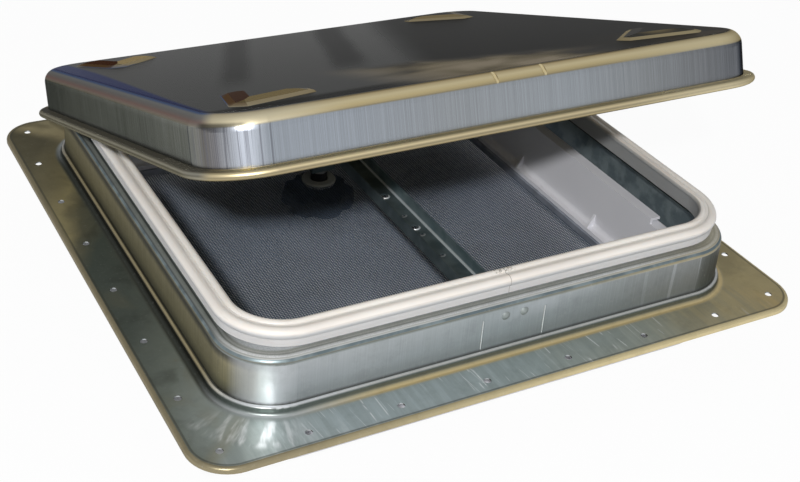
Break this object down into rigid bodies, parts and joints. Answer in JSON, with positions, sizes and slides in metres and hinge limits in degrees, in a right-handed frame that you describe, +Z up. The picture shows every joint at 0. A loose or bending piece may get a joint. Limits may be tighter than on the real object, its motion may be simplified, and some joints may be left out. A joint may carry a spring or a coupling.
{
  "type": "caravan roof vent",
  "caption": "Crank-up square roof vent: pressed steel flange and curb, seal, hinged steel lid, worm-driven lift arm, inside garnish, insect screen and lobed knob.",
  "frame": {"origin": "centre of the roof flange's top face, amid its corner screws", "axes": "+X to the right along the front edge, +Y to the hinge at the back, +Z up out of the roof"},
  "size_m": [0.465, 0.465, 0.2465],
  "materials": {
    "galvanised": "galvanised, with long rolling marks",
    "channel_steel": "dull galvanised",
    "seal_vinyl": "matt cream vinyl",
    "hinge_steel": "zinc plated",
    "plain_steel": "bright turned steel",
    "rivet_steel": "satin",
    "bright_steel": "bright pressed sheet with fine grain",
    "nylon": "natural nylon",
    "black_plastic": "satin black",
    "white_plastic": "smooth white moulding",
    "screen_aluminium": "mill finish",
    "mesh_fibre": "dark woven mesh",
    "spline_rubber": "dull grey cord"
  },
  "bodies": {
    "base": {"base_frame": "galvanised", "lid_seal": "seal_vinyl", "cross_channel": "channel_steel", "channel_rivets": "rivet_steel", "hinge_base_leaf": "hinge_steel", "hinge_pin": "plain_steel", "hinge_base_rivets": "rivet_steel", "operator_bracket": "channel_steel", "bracket_rivets": "rivet_steel", "shaft_bush": "plain_steel", "garnish": "white_plastic", "garnish_screws": "plain_steel", "screen_frame": "screen_aluminium", "insect_screen": "mesh_fibre", "screen_spline": "spline_rubber", "screen_grommet": "white_plastic"},
    "lid": {"lid_shell": "bright_steel", "hinge_lid_leaf": "hinge_steel", "hinge_lid_rivets": "rivet_steel", "lift_track": "channel_steel"},
    "arm": {"lift_arm": "plain_steel", "slide_button": "nylon", "pivot_pin": "plain_steel", "arm_spacer": "plain_steel", "worm_wheel": "nylon"},
    "crank": {"drive_shaft": "plain_steel", "knob": "black_plastic", "knob_screw": "plain_steel", "thrust_washer": "plain_steel"}
  },
  "joints": [
    {"name": "lid_hinge", "type": "hinge", "parent": "base", "child": "lid", "pos_m": [0, 0.2002, 0.0095], "axis": [-1, 0, 0], "range_deg": [-19.8, 25.2]},
    {"name": "arm_swing", "type": "hinge", "parent": "base", "child": "arm", "pos_m": [0, 0.127, -0.004], "axis": [-1, 0, 0], "range_deg": [-33.9, 43.1]},
    {"name": "crank_turn", "type": "hinge", "parent": "base", "child": "crank", "pos_m": [0.005, 0.11, 0], "axis": [0, 0, -1], "range_deg": [-609.5, 775.7]}
  ],
  "couplings": [
    {"joint": "arm_swing", "follows": "lid_hinge", "ratio": 1.71},
    {"joint": "crank_turn", "follows": "lid_hinge", "ratio": 30.78}
  ]
}
